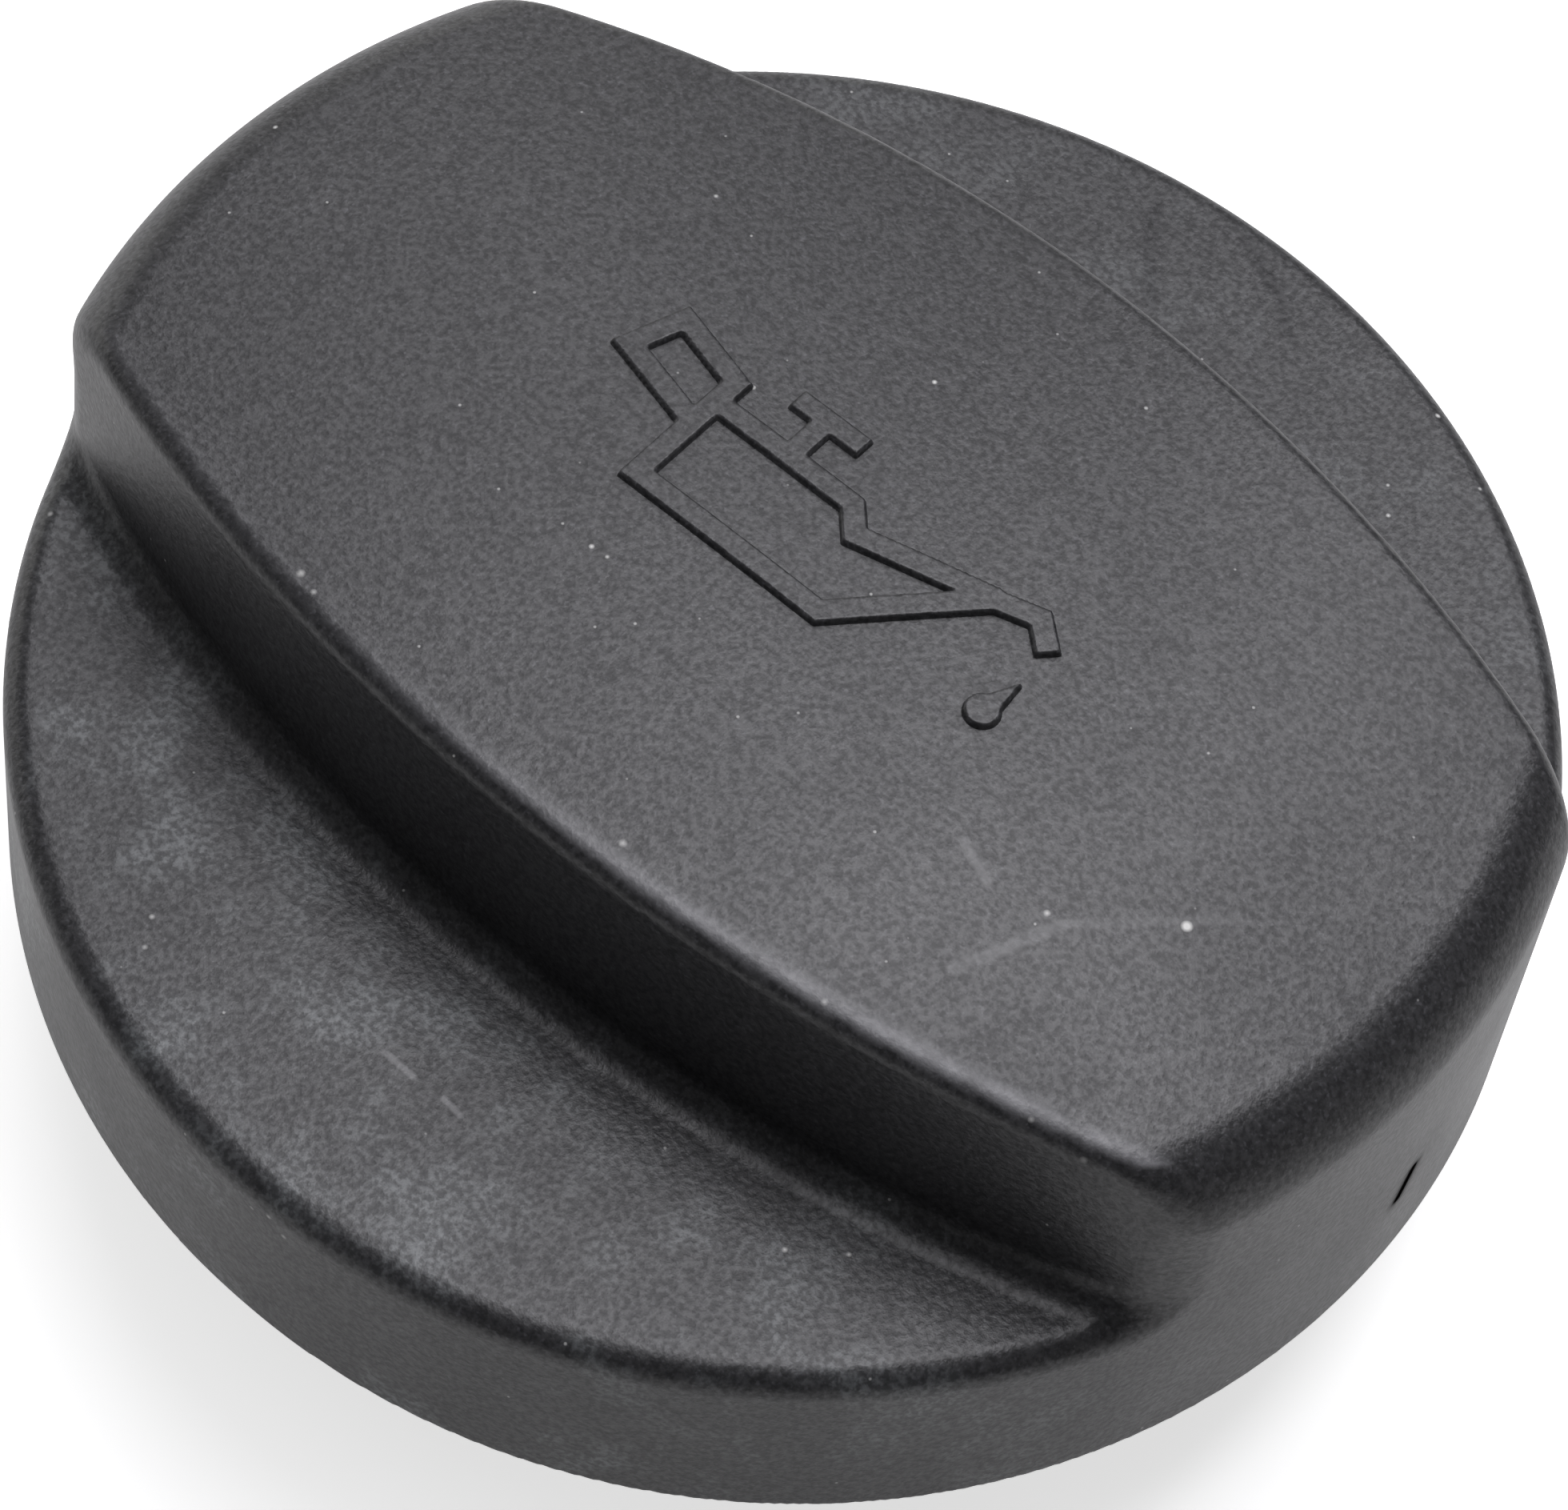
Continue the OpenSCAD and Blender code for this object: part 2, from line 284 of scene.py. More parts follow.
def outer_form(x, y, z):
    cone, crown, bow = faces_of(x, y, z)
    edge = CORNER_ROUND + (EDGE_ROUND - CORNER_ROUND) * ease(z, CORNER_Z, EDGE_Z)
    grip = meet_round(bow, meet_round(crown, cone, END_ROUND), edge)
    disc = meet_round(join_round(bow, z - DISC_Z, FILLET), cone, RIM_ROUND)
    disc = np.maximum(disc, z - DISC_Z - FILLET_TOP)
    return meet_round(np.minimum(grip, disc), SKIRT_Z - z, FOOT_ROUND)


probe = outer_form(np.array([0.0, 0.0]), np.array([0.0, 25.0]), np.array([TOP_Z, DISC_Z]))
print("distance at the crown's middle and on the disc:", np.round(probe, 4))

# %% [markdown]
# A surface net turns the rules into a mesh. Space is cut into small cubes, each cube that the
# surface crosses gets one point, and the points of four neighbours make a face. Points only
# have to be moved onto the surface afterwards, along the slope of the rules.

# %% Surface net


def corners_inside(inside):
    """How many of each cube's eight corners lie inside the form."""
    n = np.array(inside.shape) - 1
    count = np.zeros(n, int)
    for i in (0, 1):
        for j in (0, 1):
            for k in (0, 1):
                count += inside[i:i + n[0], j:j + n[1], k:k + n[2]]
    return count


def faces_across(axis, inside, number):
    """A face round each grid line along the axis that passes from inside to outside."""
    order = (axis, (axis + 1) % 3, (axis + 2) % 3)
    a = np.moveaxis(inside, order, (0, 1, 2))
    num = np.moveaxis(number, order, (0, 1, 2))
    where = np.argwhere(a[:-1, 1:-1, 1:-1] != a[1:, 1:-1, 1:-1])
    s, p, q = where[:, 0], where[:, 1] + 1, where[:, 2] + 1
    ring = np.stack([num[s, p - 1, q - 1], num[s, p, q - 1], num[s, p, q], num[s, p - 1, q]], 1)
    return np.where(a[s, p, q][:, None], ring, ring[:, ::-1])


def surface_net(field, low, high, cell):
    axes = [np.arange(a, b + cell, cell) for a, b in zip(low, high)]
    inside = field(*np.meshgrid(*axes, indexing="ij")) < 0
    count = corners_inside(inside)
    cells = np.argwhere((count > 0) & (count < 8))
    number = np.full(count.shape, -1)
    number[tuple(cells.T)] = np.arange(len(cells))
    points = np.array([a[0] for a in axes]) + (cells + 0.5) * cell
    return points, np.concatenate([faces_across(axis, inside, number) for axis in range(3)])


ball = surface_net(lambda x, y, z: np.sqrt(x * x + y * y + z * z) - 1, (-2, -2, -2), (2, 2, 2), 0.25)
print("a ball of radius 1 gives %d points and %d faces" % (len(ball[0]), len(ball[1])))

# %% [markdown]
# The net's points are evened out a few times, each towards the middle of its neighbours, and
# pushed onto the surface. In the end they lie on it exactly, so that the slope of the rules
# can also serve as the shading normal.

# %% Even out the net
CELL = 0.36
NET_LOW, NET_HIGH = (-34.7, -34.7, 10.3), (34.7, 34.7, 34.4)
LEAST_SLOPE = 0.2


def slope(field, p, h=0.01):
    return np.stack([(field(*(p + h * e).T) - field(*(p - h * e).T)) / (2 * h) for e in np.eye(3)], 1)


def onto(field, p, steps):
    """Moves the points onto the surface, by Newton's steps along the slope."""
    for _ in range(steps):
        g = slope(field, p)
        p = p - g * (field(*p.T) / np.maximum((g * g).sum(1), LEAST_SLOPE ** 2))[:, None]
    return p


def even_out(points, quads, field, rounds):
    a, b = quads.ravel(), np.roll(quads, -1, 1).ravel()
    n = len(points)
    share = np.bincount(a, minlength=n) + np.bincount(b, minlength=n)
    for _ in range(rounds):
        total = [np.bincount(a, points[b, k], n) + np.bincount(b, points[a, k], n) for k in range(3)]
        mean = np.stack(total, 1) / share[:, None]
        points = onto(field, 0.5 * (points + mean), 1)
    return onto(field, points, 3)


points, quads = surface_net(outer_form, NET_LOW, NET_HIGH, CELL)
points = even_out(points, quads, outer_form, 4)
print("outer skin: %d points, %d quads, largest miss %.4f mm"
      % (len(points), len(quads), np.abs(outer_form(*points.T)).max()))

# %% [markdown]
# Underneath, the real cover is open: a thin wall and roof, ribs across the grip, and a snap
# ring that holds the insert. That side is right in the CAD model, so its faces are taken over
# from a merged copy, and only the faces that lie on the outer form are left out.

# %% The cover's hollow side
MERGE = 0.002
SKIN_DEPTH = 1.1  # less than half a wall, so no inner face counts as skin
FOOT_DEPTH = 1.3  # above this height nothing is near the foot's flat face
FOOT_JOIN_R = 32.6  # between the foot's inner edge and its outer rounding
SHARP = math.radians(25)


def on_outside(face):
    x, y, z = face.calc_center_median()
    if face.normal.z < -0.9 and all(abs(v.co.z - SKIRT_Z) < 0.01 for v in face.verts):
        return True
    if z < SKIRT_Z + FOOT_DEPTH and math.hypot(x, y) < FOOT_JOIN_R:
        return False
    return abs(float(outer_form(np.array(x), np.array(y), np.array(z)))) < SKIN_DEPTH


def hollow_side(node):
    """bmesh of the CAD cover's faces that lie inside the skirt and under the roof, in mm."""
    bm = bmesh.new()
    bm.from_mesh(node.data)
    bm.transform(Matrix.Scale(1 / MM, 4) @ node.matrix_world)
    bmesh.ops.remove_doubles(bm, verts=bm.verts, dist=MERGE)
    bmesh.ops.delete(bm, geom=[f for f in bm.faces if on_outside(f)], context="FACES")
    for edge in bm.edges:
        edge.smooth = len(edge.link_faces) == 2 and edge.calc_face_angle(0) < SHARP
    return bm


moulding = hollow_side(cad_cover)
print("hollow side: %d faces, %d open edges"
      % (len(moulding.faces), sum(e.is_boundary for e in moulding.edges)))

# %% [markdown]
# Skin and hollow side both end in the flat foot of the skirt, where a ring of triangles
# between their two rims closes the moulding. It is flat, so nobody sees the seam.

# %% Join the skin to the hollow side


def join_skin(bm):
    inner = [e for e in bm.edges if e.is_boundary]
    verts = [bm.verts.new(p) for p in points]
    for q in quads:
        c = points[q].mean(0)
        if c[2] > SKIRT_Z + 0.02 or math.hypot(c[0], c[1]) > FOOT_JOIN_R:
            bm.faces.new([verts[i] for i in q]).smooth = True
    for v in [v for v in verts if not v.link_faces]:
        bm.verts.remove(v)
    known = set(inner)
    outer = [e for e in bm.edges if e.is_boundary and e not in known]
    bmesh.ops.triangle_fill(bm, edges=outer + inner, use_beauty=True, use_dissolve=False,
                            normal=(0, 0, -1))
    bm.normal_update()
    print("rims: %d and %d edges" % (len(outer), len(inner)))


join_skin(moulding)
print("open edges after the join:", sum(not e.is_manifold for e in moulding.edges))

# %% [markdown]
# The hollow side and the foot keep sharp edges, while the skin takes the slope of its own
# rules as normal and shades like a polished form. The near edge of the grip's top is rubbed
# pale by hands. How much is stored at each point, so that the finish can follow the edge.

# %% Cover mesh
ON_SKIN = 0.002
FLAT_FOOT_R = 33.0
WEAR_IN, WEAR_WIDTH, WEAR_DEPTH = 0.75, 0.4, 0.15
WEAR_FROM, WEAR_TO, LEAST_WEAR = -14, 16, 0.12


def skin_points(co):
    flat_foot = (co[:, 2] <= SKIRT_Z + 0.01) & (np.hypot(co[:, 0], co[:, 1]) <= FLAT_FOOT_R)
    return (np.abs(outer_form(*co.T)) < ON_SKIN) & ~flat_foot


def edge_wear(co):
    """Wear at each point: a band just inside the near edge, stronger towards the right."""
    cone, crown, bow = faces_of(*co.T)
    band = np.exp(-((bow + WEAR_IN) / WEAR_WIDTH) ** 2) * (np.abs(crown) < WEAR_DEPTH)
    return band * (co[:, 1] < 0) * (LEAST_WEAR + (1 - LEAST_WEAR) * ease(co[:, 0], WEAR_FROM, WEAR_TO))


def read(collection, name, width, kind):
    values = np.empty(len(collection) * width, kind)
    collection.foreach_get(name, values)
    return values.reshape(-1, width) if width > 1 else values


def cover_from(bm):
    bm.transform(Matrix.Scale(MM, 4))
    mesh = bpy.data.meshes.new("cover_moulding")
    bm.to_mesh(mesh)
    co = read(mesh.vertices, "co", 3, float) / MM
    corner = read(mesh.loops, "vertex_index", 1, int)
    normals = read(mesh.corner_normals, "vector", 3, np.float32)
    on_skin = skin_points(co)
    lean = slope(outer_form, co)
    lean /= np.maximum(np.linalg.norm(lean, axis=1), 1e-6)[:, None]
    normals[on_skin[corner]] = lean[corner][on_skin[corner]]
    mesh.normals_split_custom_set(normals.tolist())
    layer = mesh.attributes.new("edge_wear", "FLOAT", "POINT")
    layer.data.foreach_set("value", np.where(on_skin, edge_wear(co), 0).astype(np.float32))
    cover = bpy.data.objects.new("cover_moulding", mesh)
    bpy.context.scene.collection.objects.link(cover)
    return cover


def triangles(piece):
    return sum(len(p.vertices) - 2 for p in piece.data.polygons)


cover = cover_from(moulding)
moulding.free()
print("cover:", triangles(cover), "triangles")

# %% [markdown]
# The raised sign on the crown is the common oil can: a body with a stepped spout, a handle, a
# lid and a drop. In the mould it was a shallow engraving, so on the part its strokes stand
# 0.3 mm proud with slanting flanks. The strokes are written down as centre lines. Where a
# line turns, the stroke must be wider by the cosine of half the turn to keep its width, which
# the mitre value stores at each point.

# %% Strokes of the sign
STROKE_W, RELIEF, FLANK = 0.97, 0.3, 0.15
SIGN_STROKES = (
    ((-6.65, 3.0), (-6.65, -3.6), (3.18, -3.6), (7.98, 1.86), (9.86, 2.5), (11.1, 1.45)),
    ((-6.65, 1.31), (0.8, 1.31), (1.85, 0.22), (8.0, 1.95)),
    ((-6.6, 2.6), (-10.41, 3.68), (-11.28, 1.11), (-6.9, -0.07)),
    ((-4.3, 3.8), (-0.73, 3.8)),
    ((-2.67, 3.6), (-2.67, 1.5)),
)
DROP_AT, DROP_R, DROP_TIP = Vector((10.9, -2.47)), 0.72, Vector((11.25, -0.5))
DROP_SHOULDER = math.radians(34)


def drop_outline(count=40):
    """A circle with a slender tip that grows out between two shoulders."""
    axis = DROP_TIP - DROP_AT
    heading = math.atan2(axis.y, axis.x)
    sweep = 2 * math.pi - 2 * DROP_SHOULDER
    turns = [heading + DROP_SHOULDER + sweep * i / count for i in range(count + 1)]
    return [DROP_TIP] + [DROP_AT + DROP_R * Vector((math.cos(t), math.sin(t))) for t in turns]


def mitre_at(before, at, after):
    return 1 / math.cos((at - before).angle(after - at) / 2)


square_turn = [Vector(p) for p in ((0, 0), (1, 0), (1, 1))]
print("the stroke grows to %.2f mm across a square turn" % (STROKE_W * mitre_at(*square_turn)))

# %% Centre lines of the sign


def sign_lines():
    """Mesh with the strokes as loose edges, each with its mitre, and the drop as a face."""
    verts, edges, mitre = [], [], []
    for line in SIGN_STROKES:
        pts = [Vector(p) for p in line]
        first = len(verts)
        verts += [(p.x, p.y, 0) for p in pts]
        edges += [(first + i, first + i + 1) for i in range(len(pts) - 1)]
        mitre += [1.0] + [mitre_at(*three) for three in zip(pts, pts[1:], pts[2:])] + [1.0]
    drop = drop_outline()
    face = tuple(range(len(verts), len(verts) + len(drop)))
    verts += [(p.x, p.y, 0) for p in drop]
    mitre += [1.0] * len(drop)
    mesh = bpy.data.meshes.new("oil_can_sign")
    mesh.from_pydata(verts, edges, [face])
    mesh.attributes.new("mitre", "FLOAT", "POINT").data.foreach_set("value", mitre)
    print("sign: %d strokes, widest mitre %.2f" % (len(SIGN_STROKES), max(mitre)))
    return mesh


# %% [markdown]
# Geometry Nodes lay the sign on the crown. First the centre lines become flat ribbons, and
# the drop stays the face that it is.

# %% Ribbons and drop


def sum_of(put, nodes):
    """Joined geometry of some nodes."""
    join = put("GeometryNodeJoinGeometry")
    for node in nodes:
        join.id_data.links.new(node.outputs[0], join.inputs[0])
    return join.outputs[0]


def flat_shapes(put, calc, given):
    neighbours = put("GeometryNodeInputMeshEdgeNeighbors").outputs[0]
    loose = put("FunctionNodeCompare", {"data_type": "INT", "operation": "EQUAL"}, i2=neighbours)
    lines = put("GeometryNodeMeshToCurve", Mesh=given["Geometry"], Selection=loose.outputs[0])
    upright = put("GeometryNodeSetCurveNormal", {"mode": "Z_UP"}, Curve=lines.outputs[0])
    ends = [put("ShaderNodeCombineXYZ", X=calc("MULTIPLY", given["Stroke Width"], side)).outputs[0]
            for side in (-0.5, 0.5)]
    profile = put("GeometryNodeCurvePrimitiveLine", Start=ends[0], End=ends[1])
    width = put("GeometryNodeInputNamedAttribute", Name="mitre")
    ribbons = put("GeometryNodeCurveToMesh", Curve=upright.outputs[0],
                  Profile_Curve=profile.outputs[0], Scale=width.outputs[0])
    drop = put("GeometryNodeSeparateGeometry", {"domain": "FACE"}, Geometry=given["Geometry"])
    print("ribbons and drop: %d nodes" % len(drop.id_data.nodes))
    return sum_of(put, (ribbons, drop))


# %% [markdown]
# A fine grid above the ribbons asks each of its points how far it is from the nearest one:
# over a ribbon the point rises to the full relief, beside it it sinks just under the crown,
# and the flank lies between. Points far from any stroke are dropped.

# %% Grid over the ribbons
GRID_STEP = 0.08
SIGN_LOW, SIGN_HIGH = Vector((-12.3, -4.8)), Vector((12.3, 4.9))
print("grid over the sign: %d by %d points" % tuple((SIGN_HIGH - SIGN_LOW) / GRID_STEP))


def near_grid(put, calc, given, shapes, spot):
    """The grid's faces near a stroke, and each point's distance from the strokes."""
    across = {axis: given["Size " + axis] for axis in "XY"}
    grid = put("GeometryNodeMeshGrid", Size_X=across["X"], Size_Y=across["Y"],
               Vertices_X=calc("DIVIDE", across["X"], given["Step"]),
               Vertices_Y=calc("DIVIDE", across["Y"], given["Step"]))
    placed = put("GeometryNodeTransform", Geometry=grid.outputs[0], Translation=given["Centre"])
    flat = put("ShaderNodeCombineXYZ", X=spot.outputs[0], Y=spot.outputs[1])
    away = put("GeometryNodeProximity", Geometry=shapes, Sample_Position=flat.outputs[0])
    away = away.outputs["Distance"]
    far = put("FunctionNodeCompare", {"operation": "GREATER_THAN"}, i0=away,
              i1=calc("MULTIPLY", given["Flank"], 2.0))
    near = put("GeometryNodeDeleteGeometry", {"domain": "FACE"}, Geometry=placed.outputs[0],
               Selection=far.outputs[0])
    return near.outputs[0], away


def crown_height(calc, given, spot):
    """Height of the crown over each point: a sphere's top, from its radius."""
    square = partial(calc, "MULTIPLY")
    x, y, r = spot.outputs[0], spot.outputs[1], given["Crown Radius"]
    up = calc("SQRT", calc("SUBTRACT", square(r, r), calc("ADD", square(x, x), square(y, y))))
    return calc("ADD", calc("SUBTRACT", given["Top Height"], r), up)


# %% [markdown]
# The kept part of the grid is laid half a millimetre under the crown, drawn out upwards and
# set to its heights, which makes a closed body that seems to grow out of the crown.

# %% Body of the sign
SINK, BASE_DEPTH = 0.12, 0.5
print("a stroke at the top of the crown reaches %.2f mm" % (TOP_Z + RELIEF))


def raised_body(put, calc, given, near, away, spot):
    crown = crown_height(calc, given, spot)
    sunk = calc("MULTIPLY", given["Sink"], -1.0)
    rise = put("ShaderNodeMapRange", {"interpolation_type": "SMOOTHSTEP"}, Value=away,
               From_Max=given["Flank"], To_Min=given["Relief"], To_Max=sunk)

    def at_height(geometry, height, **more):
        where = put("ShaderNodeCombineXYZ", X=spot.outputs[0], Y=spot.outputs[1], Z=height)
        return put("GeometryNodeSetPosition", Geometry=geometry, Position=where.outputs[0], **more)

    base = at_height(near, calc("SUBTRACT", crown, given["Base Depth"])).outputs[0]
    lift = put("GeometryNodeExtrudeMesh", Mesh=base, Individual=False, Offset_Scale=0.05)
    top = at_height(lift.outputs[0], calc("ADD", crown, rise.outputs[0]), Selection=lift.outputs["Top"])
    under = put("GeometryNodeFlipFaces", Mesh=base)
    return put("GeometryNodeMergeByDistance", Geometry=sum_of(put, (top, under)), Distance=0.001)


# %% Node tree of the sign
SIGN_SIZES = {"Stroke Width": STROKE_W, "Relief": RELIEF, "Flank": FLANK, "Sink": SINK,
              "Base Depth": BASE_DEPTH, "Crown Radius": CROWN_R, "Top Height": TOP_Z,
              "Size X": 1.0, "Size Y": 1.0, "Step": GRID_STEP}


def relief_tree():
    tree = bpy.data.node_groups.new("relief_on_crown", "GeometryNodeTree")
    socket = tree.interface.new_socket
    socket("Geometry", in_out="INPUT", socket_type="NodeSocketGeometry")
    for name, value in SIGN_SIZES.items():
        socket(name, in_out="INPUT", socket_type="NodeSocketFloat").default_value = value
    socket("Centre", in_out="INPUT", socket_type="NodeSocketVector")
    socket("Material", in_out="INPUT", socket_type="NodeSocketMaterial")
    socket("Geometry", in_out="OUTPUT", socket_type="NodeSocketGeometry")
    put = partial(put_node, tree)

    def calc(op, a, b=0.0):
        return put("ShaderNodeMath", {"operation": op}, i0=a, i1=b).outputs[0]

    given = put("NodeGroupInput").outputs
    spot = put("ShaderNodeSeparateXYZ", i0=put("GeometryNodeInputPosition").outputs[0])
    near, away = near_grid(put, calc, given, flat_shapes(put, calc, given), spot)
    body = raised_body(put, calc, given, near, away, spot)
    smooth = put("GeometryNodeSetShadeSmooth", Geometry=body.outputs[0])
    real = put("GeometryNodeRealizeInstances", Geometry=smooth.outputs[0])
    painted = put("GeometryNodeSetMaterial", Geometry=real.outputs[0], Material=given["Material"])
    put("NodeGroupOutput", i0=painted.outputs[0])
    print("relief tree:", len(tree.nodes), "nodes")
    return tree


# %% [markdown]
# A modifier runs the tree. Its inputs are set by their identifiers before the object is first
# evaluated, the result is kept as a plain mesh, and the modifier goes.

# %% Run the tree


def run_tree(obj, tree, values):
    """Applies the tree with these inputs and returns its result as a plain mesh in metres."""
    mod = obj.modifiers.new(tree.name, "NODES")
    mod.node_group = tree
    for item in tree.interface.items_tree:
        if item.in_out == "INPUT" and item.name in values:
            mod[item.identifier] = values[item.name]
    obj.update_tag()
    graph = bpy.context.evaluated_depsgraph_get()
    mesh = bpy.data.meshes.new_from_object(obj.evaluated_get(graph))
    obj.modifiers.remove(mod)
    mesh.transform(Matrix.Scale(MM, 4))
    return mesh


def raised_sign(material):
    size, middle = SIGN_HIGH - SIGN_LOW, (SIGN_LOW + SIGN_HIGH) / 2
    lines = sign_lines()
    sign = bpy.data.objects.new("oil_can_sign", lines)
    bpy.context.scene.collection.objects.link(sign)
    sign.data = run_tree(sign, relief_tree(), {
        "Size X": size.x, "Size Y": size.y, "Centre": (middle.x, middle.y, 0.0), "Material": material})
    bpy.data.meshes.remove(lines)
    print("sign: %d triangles" % triangles(sign))
    return sign


# %% [markdown]
# A finish is a shader tree over the piece's own coordinates in millimetres, so that a mark or
# a grain size can be written as it is measured. Patterns are numbers from 0 to 1, made by
# noise or by the distance from a point or a line, and mixed into colour, roughness and shine.

# %% Finish: patterns


class Pattern:
    """The tree of one finish, with the patterns that it is mixed from."""

    def __init__(self, name):
        self.mat = bpy.data.materials.new(name)
        self.mat.use_nodes = True
        self.put = partial(put_node, self.mat.node_tree)
        self.mat.node_tree.nodes.clear()
        place = self.put("ShaderNodeTexCoord").outputs["Object"]
        self.mm = self.put("ShaderNodeMapping", Vector=place, Scale=(1 / MM,) * 3).outputs[0]

    def calc(self, op, *values, clamp=False):
        given = {"i%d" % i: value for i, value in enumerate(values)}
        return self.put("ShaderNodeMath", {"operation": op, "use_clamp": clamp}, **given).outputs[0]

    def vector(self, op, a, b=(0, 0, 0), out=0, **more):
        return self.put("ShaderNodeVectorMath", {"operation": op}, i0=a, i1=b, **more).outputs[out]

    def noise(self, scale, detail=2.0, rough=0.5, shift=(0, 0, 0)):
        spot = self.vector("ADD", self.mm, shift)
        return self.put("ShaderNodeTexNoise", Vector=spot, Scale=scale, Detail=detail,
                        Roughness=rough).outputs[0]

    def ramp(self, x, low, high, to_low=0.0, to_high=1.0):
        return self.put("ShaderNodeMapRange", {"interpolation_type": "SMOOTHSTEP"}, Value=x,
                        From_Min=low, From_Max=high, To_Min=to_low, To_Max=to_high).outputs[0]


print("a pattern counts %d units to the metre" % round(1 / MM))

# %% Finish: marks


class Finish(Pattern):
    """Adds marks at chosen places, the mixing of colours and the finished surface."""

    def near_point(self, at, reach, strength):
        """Cone over a point in millimetres: the strength at 0.4 of the reach, 0 at the reach."""
        away = self.vector("DISTANCE", self.mm, at, out=1)
        return self.calc("MULTIPLY_ADD", away, -strength / (0.6 * reach), strength / 0.6)

    def near_line(self, a, b, width):
        """1 along the line from a to b, falling to 0 at half the width."""
        a, b = Vector(a), Vector(b)
        along = b - a
        from_a = self.vector("SUBTRACT", self.mm, a)
        t = self.vector("DOT_PRODUCT", from_a, along, out=1)
        t = self.calc("DIVIDE", t, along.length_squared, clamp=True)
        foot = self.vector("SCALE", along, Scale=t)
        away = self.vector("DISTANCE", from_a, foot, out=1)
        return self.ramp(away, 0.1 * width, 0.5 * width, 1.0, 0.0)

    def largest(self, masks):
        top = masks[0]
        for mask in masks[1:]:
            top = self.calc("MAXIMUM", top, mask)
        return top

    def mix(self, share, a, b):
        """Colour a where share is 0 and b where it is 1."""
        return self.put("ShaderNodeMix", {"data_type": "RGBA"}, i0=share, i6=a, i7=b).outputs[2]

    def surface(self, colour, rough, specular, height, depth):
        bump = self.put("ShaderNodeBump", Height=height, Distance=depth * MM, Strength=1.0)
        skin = self.put("ShaderNodeBsdfPrincipled", Base_Color=colour, Roughness=rough,
                        Specular_IOR_Level=specular, Normal=bump.outputs[0])
        self.put("ShaderNodeOutputMaterial", Surface=skin.outputs[0])
        print("%s: %d nodes" % (self.mat.name, len(self.mat.node_tree.nodes)))
        return self.mat


# %% [markdown]
# The cover is black glass-filled nylon from a spark-eroded mould. Its grain has dimples a
# quarter of a millimetre wide, which break the soft reflections into the fine mottle of the
# photograph, with a few brighter points painted into the colour as glints. Pale specks, hair
# scratches and a gouge in the end wall sit where the photograph shows them: each place is its
# line of sight carried down to the skin, and the gouge's hollow is painted shade. Finer dust is
# strewn by a pattern of cells, of which only some hold a grain.

# %% Marks on the cover
SPECKS = (  # place in mm, reach, strength
    ((-30.8, 0.1, 31.8), 0.14, 0.8), ((-0.9, 8.6, 33.55), 0.13, 0.7), ((22.8, -4.0, 32.65), 0.27, 1.0),
    ((18.5, -7.5, 32.9), 0.17, 0.5), ((6.2, 14.0, 33.25), 0.11, 0.5), ((-6.1, 3.05, 33.6), 0.13, 0.6),
    ((-5.6, -7.45, 33.5), 0.14, 0.7), ((-4.8, -7.4, 33.55), 0.11, 0.5), ((14.7, -16.4, 32.7), 0.18, 0.3),
    ((23.6, -14.5, 32.1), 0.16, 0.25), ((26.0, -14.1, 31.4), 0.2, 0.25), ((-14.1, 9.8, 33.1), 0.12, 0.5),
    ((-13.4, -16.2, 32.8), 0.22, 0.4), ((-12.4, -16.5, 32.9), 0.16, 0.35), ((4.5, -16.7, 33.1), 0.2, 0.35),
    ((12.1, 30.4, 22.1), 0.16, 0.8), ((15.9, 28.5, 22.2), 0.13, 0.6), ((12.8, 25.7, 22.2), 0.11, 0.5),
    ((13.8, 24.4, 22.2), 0.13, 0.6), ((-11.0, -27.5, 22.2), 0.15, 0.45), ((-10.2, -28.7, 22.2), 0.14, 0.3),
    ((-28.3, -16.4, 22.1), 0.16, 0.4), ((17.8, -21.0, 22.2), 0.14, 0.6), ((19.8, -19.4, 22.2), 0.13, 0.5),
    ((2.3, -33.5, 20.2), 0.17, 0.4), ((1.5, -33.5, 20.9), 0.15, 0.4), ((0.6, -33.6, 20.5), 0.15, 0.35),
)
SCRATCHES = (  # two ends in mm, width, strength
    ((17.4, -11.9, 32.8), (19.3, -7.4, 32.9), 0.8, 0.5), ((19.3, -7.4, 32.9), (24.1, -2.3, 32.5), 0.7, 0.3),
    ((14.1, -7.4, 33.2), (15.9, -8.1, 33.1), 0.7, 0.6), ((0.2, -25.5, 22.2), (1.8, -25.5, 22.2), 0.45, 1.0),
    ((3.4, -25.4, 22.2), (4.4, -25.5, 22.2), 0.4, 0.9),
)
DULL_TRACES = (  # two thin lines of lowered shine on the far side of the disc, each as a chain
    ((-4.5, 30.7, 22.2), (-3.2, 28.5, 22.2), (-1.1, 26.1, 22.2)),
    ((-0.3, 32.0, 22.2), (2.9, 30.6, 22.2), (4.5, 29.1, 22.2)),
)
GOUGE, GOUGE_W = ((33.6, 0.9, 19.3), (33.7, 0.3, 17.4)), 2.2
TRACE_W, TRACE_DULLING = 1.1, 0.28
DUST_CELLS, DUST_KEPT, DUST_SEEN = 0.7, 0.66, 0.5  # cells per mm, lot above which one holds dust
print("marks: %d specks, %d scratches, %d traces" % (len(SPECKS), len(SCRATCHES), len(DULL_TRACES)))


def specks(s):
    cells = s.put("ShaderNodeTexVoronoi", Vector=s.mm, Scale=DUST_CELLS)
    lot = s.put("ShaderNodeSeparateColor", Color=cells.outputs["Color"]).outputs[0]
    dust = s.ramp(cells.outputs["Distance"], 0.02, 0.065, DUST_SEEN, 0.0)
    dust = s.calc("MULTIPLY", dust, s.calc("GREATER_THAN", lot, DUST_KEPT))
    return s.largest([dust] + [s.near_point(at, reach, k) for at, reach, k in SPECKS])


def scratches(s):
    return s.largest([s.calc("MULTIPLY", s.near_line(a, b, w), k) for a, b, w, k in SCRATCHES])
